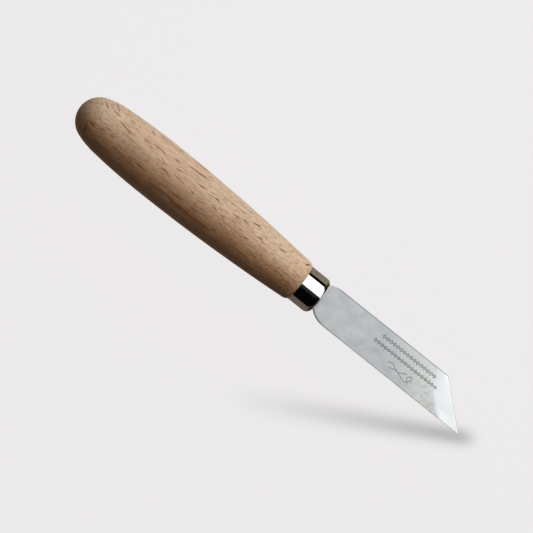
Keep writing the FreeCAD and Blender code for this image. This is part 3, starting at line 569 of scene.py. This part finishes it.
# ---------------------------------------------------------------- handle
def handle_outline():
    """Half outline of the turned handle in mm from the butt: dome, swell, taper, nose, spigot and bore."""
    dome = 9.7
    dome_end = (6.38, 9.11)                  # the dome runs into the shoulder here
    bend_centre, bend_radius = (17.84, -22.29), 33.43
    bend_end = (14.81, 11.0)                 # the shoulder runs into the long rear swell here
    belly, belly_station = BELLY_RADIUS / MM, 39.0
    wood_face = (FERRULE_REAR - BUTT) / MM + JOIN
    rear, taper_end, nose_radius = 267.0, wood_face - 2.2, 8.95
    nose_centre, nose_round = (wood_face - 2.25, 5.55), 3.4
    spigot, chamfer, bore, drill_point = 7.3, 1.3, 4.0, 2.4
    sag = belly - nose_radius
    taper = ((taper_end - belly_station) ** 2 + sag ** 2) / (2 * sag)

    dome_turn = math.degrees(math.acos((dome - dome_end[0]) / dome))
    outer = arc_points((dome, 0.0), dome, 180.0, 180.0 - dome_turn, 70)
    bend_turns = [math.degrees(math.atan2(r - bend_centre[1], s - bend_centre[0]))
                  for s, r in (dome_end, bend_end)]
    outer += arc_points(bend_centre, bend_radius, bend_turns[0], bend_turns[1], 34)[1:]
    stations = np.linspace(bend_end[0], belly_station, 70)[1:]
    outer += [(s, belly - rear + math.sqrt(rear ** 2 - (belly_station - s) ** 2)) for s in stations]
    stations = np.linspace(belly_station, taper_end, 190)[1:]
    outer += [(s, belly - taper + math.sqrt(taper ** 2 - (s - belly_station) ** 2)) for s in stations]
    outer += arc_points(nose_centre, nose_round, 88.6, 48.6, 16)[1:]
    outer[-1] = (wood_face, outer[-1][1])

    spigot_end = (resin_hi.x - BUTT) / MM
    bore_end = (resin_lo.x - BUTT) / MM
    corners = [((wood_face, spigot), 4), ((spigot_end - chamfer, spigot), 12),
               ((spigot_end, spigot - chamfer), 5), ((spigot_end, bore), 5),
               ((bore_end + drill_point, bore), 30), ((bore_end, 0.0), 6)]
    inner, place = [], outer[-1]
    for corner, count in corners:
        inner += run_points(place, corner, count)[1:]
        place = corner
    return outer + inner


def make_handle():
    outline = handle_outline()
    around = 192
    # the turning is a little uneven on its outer skin, but not at the butt and the nose
    fade, nose_start, skin = 8.0, 108.0, 8.5
    waves, shrink, swing = 0.055, 0.03, 0.35
    vertices, faces = [], []
    angles = np.linspace(0, 2 * math.pi, around, endpoint=False)
    wobble = [(rng.uniform(0.02, 0.035), rng.uniform(0, 6.28), k) for k in (1, 2, 3)]
    rings = []
    for s, r in outline:
        if r < 1e-6:
            rings.append([len(vertices)])
            vertices.append((BUTT + s * MM, 0.0, AXIS_Z))
            continue
        ring = []
        free = min(1.0, s / fade) * min(1.0, max(0.0, (nose_start - s) / fade)) if r > skin else 0.0
        for a in angles:
            off = sum(amp * math.sin(waves * k * s + phase + k * a) for amp, phase, k in wobble)
            out = (r - shrink * free + off * swing * free) * MM
            ring.append(len(vertices))
            vertices.append((BUTT + s * MM, out * math.sin(a), AXIS_Z + out * math.cos(a)))
        rings.append(ring)
    for first, second in zip(rings, rings[1:]):
        for k in range(around):
            n = (k + 1) % around
            if len(first) == 1:
                faces.append((first[0], second[k], second[n]))
            elif len(second) == 1:
                faces.append((first[k], second[0], first[n]))
            else:
                faces.append((first[k], second[k], second[n], first[n]))
    piece = add_mesh("handle_turned", vertices, faces, "handle", beech())
    sharp_edges(piece, 40)
    return piece


# ---------------------------------------------------------------- ferrule
def make_ferrule():
    radius, wall, corner = FERRULE_RADIUS / MM, 0.7, 2.6
    slot_y, slot_z = 3.65, 0.7               # half the width and half the height of the tang slot
    rear, front = JOIN, (FERRULE_FRONT - FERRULE_REAR) / MM
    lip = 0.18                               # rounding of the rear edge
    outline = arc_points((rear + lip, radius - lip), lip, 180.0, 90.0, 6)
    outline += run_points((rear + lip, radius), (front - corner, radius), 84)[1:]
    outline += arc_points((front - corner, radius - corner), corner, 90.0, 0.0, 34)[1:]
    inner_corner = corner - wall
    inside = arc_points((front - corner, radius - corner), inner_corner, 0.0, 90.0, 10)
    inside += run_points((front - corner, radius - wall), (rear + 0.1, radius - wall), 16)[1:]
    inside += [(rear, radius - wall + 0.1)]
    around = 384
    vertices, rings = [], []

    def ring(points):
        rings.append([len(vertices) + k for k in range(around)])
        vertices.extend(points)

    angles = np.linspace(0, 2 * math.pi, around, endpoint=False)
    burr, burr_width = 0.015, 0.14           # the metal stands up a little round the stake mark
    # shallow dents: degrees round from the top, station, size and depth in mm
    dents = [(-34, 4.1, 0.9, 0.012), (12, 6.3, 1.3, 0.010), (78, 5.6, 1.0, 0.014),
             (150, 3.4, 1.2, 0.014), (-112, 6.0, 1.1, 0.012)]
    nothing, far = 1e-9, 1e9

    def skin_distance(x, a, station, angle):
        """Distance over the ferrule's skin, in mm, from a station and an angle to another."""
        turned = (a - angle + math.pi) % (2 * math.pi) - math.pi
        return math.hypot(x - station, turned * radius)

    def round_ring(x, r, shaped=True):
        """One ring of the ferrule, with the stake mark and the dents where it is shaped."""
        points = []
        for a in angles:
            out = r
            if shaped:
                away = skin_distance(x, a, STAKE_STATION, STAKE_ANGLE)
                if away < STAKE_RADIUS * 1.6:
                    bowl = max(0.0, 1 - away / STAKE_RADIUS)
                    rim = math.exp(-((away - STAKE_RADIUS * 1.15) / burr_width) ** 2)
                    out += -STAKE_DEPTH * min(bowl, 0.85) + burr * rim
                for degrees, station, size, depth in dents:
                    away = skin_distance(x, a, station, math.radians(degrees))
                    out -= depth * math.exp(-(away / size) ** 2)
                out = min(out, radius + burr)
            points.append((FERRULE_REAR + x * MM, out * MM * math.sin(a), AXIS_Z + out * MM * math.cos(a)))
        return points

    def slot_point(a):
        """Where a line from the axis at this angle leaves the tang slot, across and up."""
        side, up = math.sin(a), math.cos(a)
        reach = min(slot_y / abs(side) if abs(side) > nothing else far,
                    slot_z / abs(up) if abs(up) > nothing else far)
        return reach * side, reach * up

    def face_rings(x, from_rim, count):
        """Rings over a flat end face, from the rounded corner to the tang slot or back."""
        shares = np.linspace(0, 1, count + 1)
        for share in (shares[1:] if from_rim else shares[::-1][1:]):
            points = []
            for a in angles:
                slot_side, slot_up = slot_point(a)
                side, up = (radius - corner) * math.sin(a), (radius - corner) * math.cos(a)
                y, z = side + (slot_side - side) * share, up + (slot_up - up) * share
                points.append((FERRULE_REAR + x * MM, y * MM, AXIS_Z + z * MM))
            ring(points)

    for x, r in outline:
        ring(round_ring(x, r))
    face_rings(front, True, 10)
    behind_wall = FERRULE_REAR + (front - wall) * MM
    ring([(behind_wall, slot_point(a)[0] * MM, AXIS_Z + slot_point(a)[1] * MM) for a in angles])
    face_rings(front - wall, False, 4)
    for x, r in inside[1:]:
        ring(round_ring(x, r, False))
    faces = []
    for first, second in zip(rings, rings[1:] + rings[:1]):
        for k in range(around):
            n = (k + 1) % around
            faces.append((first[k], second[k], second[n], first[n]))
    piece = add_mesh("ferrule_cap", vertices, faces, "ferrule", nickel())
    sharp_edges(piece, 50)
    return piece


# ---------------------------------------------------------------- blade
def shoulder(x, neck, radius):
    """Half width of the blade at a distance from the ferrule: an arc from the neck out to the full width."""
    full = HALF_WIDTH / MM
    rise = full - neck
    run = math.sqrt(max(0.0, radius ** 2 - (radius - rise) ** 2))
    if x >= run:
        return full
    return full - radius + math.sqrt(radius ** 2 - (run - x) ** 2)


def make_blade():
    half_w, half_t = HALF_WIDTH / MM, HALF_THICK / MM
    corner = 0.05                            # rounding of the long edges
    heel = (HEEL_X - FERRULE_FRONT) / MM
    # columns from the ferrule to where the bevel's own columns begin, finer along the shoulders
    shoulders_end, plain_end = 9.0, 50.0
    columns = list(np.linspace(0, shoulders_end, 46)) + list(np.linspace(shoulders_end, plain_end, 60)[1:])
    # distances in from the cutting edge, closer together where the ground surface turns
    insets = [14.0, 12.5, 11.0, 10.0, 9.0, 8.4, 8.0, 7.8, 7.6, 7.4, 7.2, 7.0, 6.8, 6.5, 6.0, 5.5, 5.0, 4.6,
              4.3, 4.0, 3.6, 3.0, 2.4, 1.8, 1.3, 0.95, 0.72, 0.6, 0.52, 0.44, 0.3, 0.18, 0.11, 0.09, 0.06,
              0.03, 0.01, 0.0]
    edge_rows = [0.0, corner * 0.08, corner * 0.3, corner * 0.6, corner, corner * 2]
    across = edge_rows + list(np.linspace(corner * 2, 2 * half_w - corner * 2, 96)[1:-1])
    across += [2 * half_w - a for a in edge_rows[::-1]]
    # half thickness that the bevel runs down to, the honed strip's own at the edge, and the strip's width
    thin, land, micro = 0.08, 0.045, 0.48
    round_off, keen = 0.10, 0.006            # the last rounding of the edge: its width and half thickness
    vertices, index = [], {}

    def bevel_reach(down):
        """Width of the ground bevel at a distance down from the heel side."""
        share = min(1.0, down / BEVEL_SPREAD)
        widened = BEVEL_HEEL + (BEVEL_LOW - BEVEL_HEEL) * (share * (2 - share))
        return widened - 0.8 * max(0.0, (down - 12.5) / 3.4)

    def half_thickness(inset, down):
        """Half the blade's thickness at a distance in from the cutting edge, in mm."""
        slope = (half_t - thin) / bevel_reach(down)
        half = thin + inset * slope
        if inset < micro:
            half = land + (thin + micro * slope - land) * inset / micro
        if inset < round_off:
            half = min(half, keen + land * math.sqrt(max(0.0, 1 - (1 - inset / round_off) ** 2)))
        # the bevel runs softly into the flat
        blend = 0.22 * slope * 6
        if half - half_t > -blend:
            eased = half_t - max(0.0, (half_t - half + blend)) ** 2 / (4 * blend)
            half = eased if half - half_t < blend else half_t
        return min(half_t, half)

    for j, down in enumerate(across):            # from the heel side down to the tip side
        edge = heel + down * EDGE_RUN
        last_column = edge - insets[0] / math.sin(EDGE_ANGLE)
        xs = [c / plain_end * last_column if c > shoulders_end else c * min(1.0, last_column / plain_end)
              for c in columns]
        xs += [edge - inset / math.sin(EDGE_ANGLE) for inset in insets[1:]]
        for i, x in enumerate(xs):
            top = shoulder(x, HIGH_NECK, HIGH_RADIUS)
            low = shoulder(x, LOW_NECK, LOW_RADIUS)
            share = down / (2 * half_w)
            y = top - share * (top + low)
            if x > 12:                           # well past both shoulders
                y = half_w - down
            inset = max(0.0, (edge - x) * math.sin(EDGE_ANGLE))
            h = half_thickness(inset, down)
            near = min(top - y, y + low)
            if near < corner:
                drop = corner - math.sqrt(max(0.0, corner ** 2 - (corner - near) ** 2))
                h = max(h - drop, min(h, 0.03))
            for side in (1, -1):
                index[(i, j, side)] = len(vertices)
                vertices.append((FERRULE_FRONT + x * MM, y * MM, AXIS_Z + side * h * MM))
    total = len(xs)
    faces = []
    rows = len(across)
    for i in range(total - 1):
        for j in range(rows - 1):
            loop = ((i, j), (i, j + 1), (i + 1, j + 1), (i + 1, j))
            faces.append([index[(column, row, 1)] for column, row in loop])
            faces.append([index[(column, row, -1)] for column, row in (loop[0], loop[3], loop[2], loop[1])])
    for i in range(total - 1):
        for j in (0, rows - 1):
            faces.append((index[(i, j, 1)], index[(i + 1, j, 1)], index[(i + 1, j, -1)], index[(i, j, -1)]))
    for j in range(rows - 1):
        for i in (0, total - 1):
            faces.append((index[(i, j, 1)], index[(i, j + 1, 1)], index[(i, j + 1, -1)], index[(i, j, -1)]))

    # the tang runs back through the ferrule into the handle
    back, start = (blade_lo.x - FERRULE_FRONT) / MM, -0.002
    root_half, end_half, thick_half = 3.5, 1.5, 0.55
    end_round, end_thin = 0.35, 0.2          # the tang's end is drawn in by this much each way
    base = len(vertices)
    sections = list(np.linspace(start, back + 0.6, 24)) + [back + 0.2, back]
    profile = [(1, 1), (1, -1), (-1, -1), (-1, 1)]
    for x in sections:
        share = (x - start) / (back - start)
        wide = root_half + (end_half - root_half) * share - (end_round if x == back else 0.0)
        thick = thick_half - (end_thin if x == back else 0.0)
        for py, pz in profile:
            vertices.append((FERRULE_FRONT + x * MM, py * wide * MM, AXIS_Z + pz * thick * MM))
    for k in range(len(sections) - 1):
        for q in range(4):
            n = (q + 1) % 4
            faces.append((base + 4 * k + q, base + 4 * k + n, base + 4 * k + 4 + n, base + 4 * k + 4 + q))
    end = base + 4 * (len(sections) - 1)
    faces.append((base, base + 1, base + 2, base + 3))
    faces.append((end, end + 1, end + 2, end + 3))
    piece = add_mesh("blade_ground", vertices, faces, "blade", steel())
    sharp_edges(piece, 32)
    return piece


make_handle()
make_ferrule()
make_blade()
resin_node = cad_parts["tang_resin"]
resin_material = resin()
if resin_node.material_slots:
    for slot in resin_node.material_slots:
        slot.material = resin_material
else:
    resin_node.data.materials.append(resin_material)


# ---------------------------------------------------------------- camera
VIEW_DISTANCE = 3.00
VIEW_WIDTH = 211.17274 * MM              # what the view takes in at the knife
SENSOR = 36.0
VIEW_TURN = math.radians(38.7)           # the knife slopes down to the right in the view
target = Vector(((cad_box[0].x + cad_box[1].x) / 2 - 2.265 * MM, -3.4 * MM, AXIS_Z))
turn = Matrix.Rotation(-LEAN, 4, "Y") @ Matrix.Rotation(VIEW_TURN, 4, "Z")
camera_data = bpy.data.cameras.new("camera")
camera_data.sensor_width = SENSOR
camera_data.lens = SENSOR * VIEW_DISTANCE / VIEW_WIDTH
camera_data.clip_start, camera_data.clip_end = 0.01, 20.0
camera = bpy.data.objects.new("camera", camera_data)
bpy.context.scene.collection.objects.link(camera)
camera.matrix_world = Matrix.Translation(target + turn.to_3x3() @ Vector((0, 0, VIEW_DISTANCE))) @ turn
bpy.context.scene.camera = camera


# ---------------------------------------------------------------- lights
WATTS_PER_AREA = 4.0                     # per square metre of the light, for each unit of radiance


def soft_light(name, low, high, distance, x_from, x_to, radiance, colour=(1.0, 1.0, 1.0),
               glossy=True, diffuse=True):
    """A rectangular soft light across the knife's axis, between two angles in degrees from the zenith."""
    middle, half = math.radians((low + high) / 2), math.radians((high - low) / 2)
    tall, wide = 2 * distance * math.tan(half), x_to - x_from
    data = bpy.data.lights.new(name, "AREA")
    data.shape, data.size, data.size_y = "RECTANGLE", wide, tall
    data.energy = radiance * WATTS_PER_AREA * wide * tall
    data.color = colour
    light = bpy.data.objects.new(name, data)
    bpy.context.scene.collection.objects.link(light)
    out = Vector((0.0, math.sin(middle), math.cos(middle)))
    across = Vector((1.0, 0.0, 0.0))
    up = out.cross(across)
    rotation = Matrix((across, up, out)).transposed().to_4x4()
    middle_x = Vector(((x_from + x_to) / 2, 0.0, AXIS_Z))
    light.matrix_world = Matrix.Translation(middle_x + out * distance) @ rotation
    light.visible_camera = False
    light.visible_glossy = glossy
    light.visible_diffuse = diffuse
    return light


# the box is for reflections, and the fill and the strip are for the wood
BOX_LOW, BOX_HIGH, BOX_TONE = 2.5, 69.0, 1.26
soft_light("soft_box", BOX_LOW, BOX_HIGH, 0.60, -0.40, 1.10, BOX_TONE, diffuse=False)
soft_light("soft_fill", 20.0, 60.0, 0.60, -0.15, 0.40, 3.00, colour=(1.0, 0.738, 0.520), glossy=False)
soft_light("soft_strip", 60.0, 85.0, 0.55, -0.25, 0.25, 3.80, colour=(0.720, 1.05, 1.28), glossy=False)

PALE = (0.847, 0.831, 0.839, 1.0)        # what the camera sees past the floor
world = bpy.data.worlds.new("studio")
bpy.context.scene.world = world
world.use_nodes = True
sky = Tree(world.node_tree)
rays = sky.put("ShaderNodeLightPath").outputs
direction = sky.put("ShaderNodeTexCoord").outputs["Generated"]
dx, dy, dz = sky.split(direction)
below = sky.step(dz, 0.015, -0.015)
# above the horizon shiny metal sees the dark, with a grey wall past the butt
high = sky.mix(sky.step(dx, -0.30, -0.75), grey(0.002), grey(0.32))
tilt = sky.math("ARCTAN2", dy, dz)
# a faint spill of light beside the box
spill = sky.math("MULTIPLY", sky.step(tilt, math.radians(-24), math.radians(-6)),
                 sky.step(tilt, math.radians(40), math.radians(20)))
spill = sky.math("MULTIPLY", spill, sky.step(dx, 0.45, 0.25))
high = sky.mix(spill, high, grey(0.030))
# the soft box runs on to the horizon past the blade's end
box_on = sky.math("MULTIPLY", sky.step(tilt, math.radians(BOX_LOW - 1), math.radians(BOX_LOW + 1)),
                  sky.step(tilt, math.radians(BOX_HIGH + 1), math.radians(BOX_HIGH - 1)))
high = sky.mix(sky.math("MULTIPLY", box_on, sky.step(dx, 0.80, 0.88)), high, grey(BOX_TONE))
# below it, a warm table that darkens past the blade's end
low = sky.mix(sky.step(dy, 0.05, -0.10), (0.310, 0.282, 0.226, 1), (0.175, 0.150, 0.120, 1))
low = sky.mix(sky.step(dx, 0.30, 0.60), low, (0.035, 0.032, 0.027, 1))
shiny = sky.mix(below, high, low)
# matte surfaces get a warm light from below and next to nothing from above
bounce = sky.mix(sky.step(dz, -0.40, -0.80), (0.225, 0.146, 0.100, 1), (0.50, 0.37, 0.28, 1))
matte = sky.mix(below, grey(0.004), bounce)
seen = sky.mix(rays["Is Glossy Ray"], matte, shiny)
seen = sky.mix(rays["Is Camera Ray"], seen, PALE)
background = sky.put("ShaderNodeBackground", {"Color": seen, "Strength": 1.0})
sky_out = sky.put("ShaderNodeOutputWorld")
sky.tree.links.new(background.outputs[0], sky_out.inputs[0])


# ---------------------------------------------------------------- floor
floor_mesh = bpy.data.meshes.new("floor")
REACH = 6.0
floor_corners = [(-REACH, -REACH, 0), (REACH, -REACH, 0), (REACH, REACH, 0), (-REACH, REACH, 0)]
floor_mesh.from_pydata(floor_corners, [], [(0, 1, 2, 3)])
floor = bpy.data.objects.new("floor", floor_mesh)
bpy.context.scene.collection.objects.link(floor)
floor_material = bpy.data.materials.new("floor_pale_painted_shadow")
floor_material.use_nodes = True
ground = Tree(floor_material.node_tree)
# a painted soft shadow on the floor, running in to the point of the blade: it deepens and narrows on the way,
# and then stops
SHADE_START, SHADE_TURN = (0.0315, -0.0470), math.radians(28.6)
SHADE_DEEPEST = 0.42
SHADE_WIDE, SHADE_NARROW = 0.0058, 0.0036
spot = ground.put("ShaderNodeTexCoord").outputs["Object"]
spot = ground.vector("SUBTRACT", spot, (SHADE_START[0], SHADE_START[1], 0.0))
shade_u = ground.vector("DOT_PRODUCT", spot, (math.cos(SHADE_TURN), math.sin(SHADE_TURN), 0.0))
shade_v = ground.vector("DOT_PRODUCT", spot, (-math.sin(SHADE_TURN), math.cos(SHADE_TURN), 0.0))
shade_depth = ground.line(shade_u, -0.017, 0.075, 0.0, SHADE_DEEPEST)
shade_width = ground.line(shade_u, -0.015, 0.080, SHADE_WIDE, SHADE_NARROW)
shade_off = ground.math("DIVIDE", shade_v, shade_width)
shade_fall = ground.math("MULTIPLY", ground.math("MULTIPLY", shade_off, shade_off), -1.0)
shade_fall = ground.math("EXPONENT", shade_fall)
painted_shadow = ground.math("MULTIPLY", shade_depth, shade_fall)
painted_shadow = ground.math("MULTIPLY", painted_shadow, ground.step(shade_u, 0.091, 0.080))
# the pale floor colour, darkened by the painted shadow
pale = ground.mix(painted_shadow, (0.834, 0.818, 0.826, 1), (0.0, 0.0, 0.0, 1))
glow = ground.put("ShaderNodeEmission", {"Color": pale, "Strength": 1.0})
matte_floor = ground.put("ShaderNodeBsdfDiffuse", {"Color": (0.02, 0.02, 0.02, 1)})
both = ground.put("ShaderNodeAddShader", {0: glow.outputs[0], 1: matte_floor.outputs[0]})
ground_out = ground.put("ShaderNodeOutputMaterial")
ground.tree.links.new(both.outputs[0], ground_out.inputs[0])
floor_mesh.materials.append(floor_material)
floor.visible_diffuse = False
floor.visible_glossy = False
floor.visible_shadow = False

bpy.context.scene.view_settings.view_transform = "Standard"
bpy.context.scene.view_settings.look = "None"
